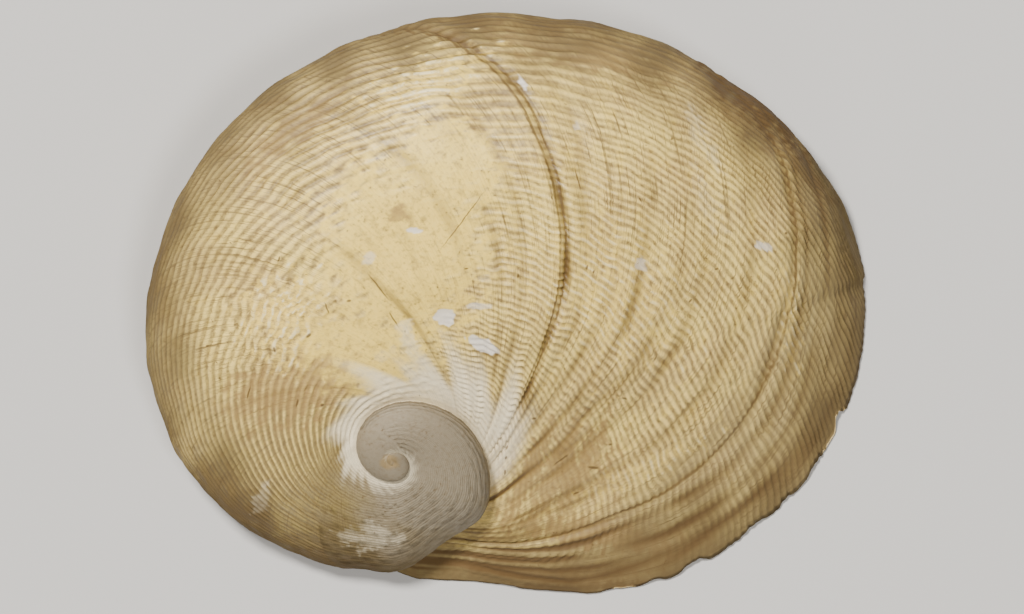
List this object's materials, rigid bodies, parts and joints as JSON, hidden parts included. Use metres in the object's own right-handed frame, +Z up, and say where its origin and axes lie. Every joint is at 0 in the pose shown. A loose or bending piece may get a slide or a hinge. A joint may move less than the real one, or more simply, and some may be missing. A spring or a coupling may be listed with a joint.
{
  "type": "moon snail shell",
  "caption": "Ear-shaped moon snail shell lying on its mouth: a low spire at one end and one very wide last whorl with an open hollow underneath.",
  "frame": {"origin": "centre of the box's bottom face, which is the plane that the lip rests on", "axes": "+X along the shell's length, +Y across it with the spire towards -X and -Y, +Z up from the mouth's plane"},
  "size_m": [0.0418, 0.0336, 0.0188],
  "materials": {
    "shell": "worn semi-gloss, with fine spiral ridges and brown growth lines"
  },
  "bodies": {
    "root": {"moon_snail_shell": "shell"}
  },
  "joints": []
}
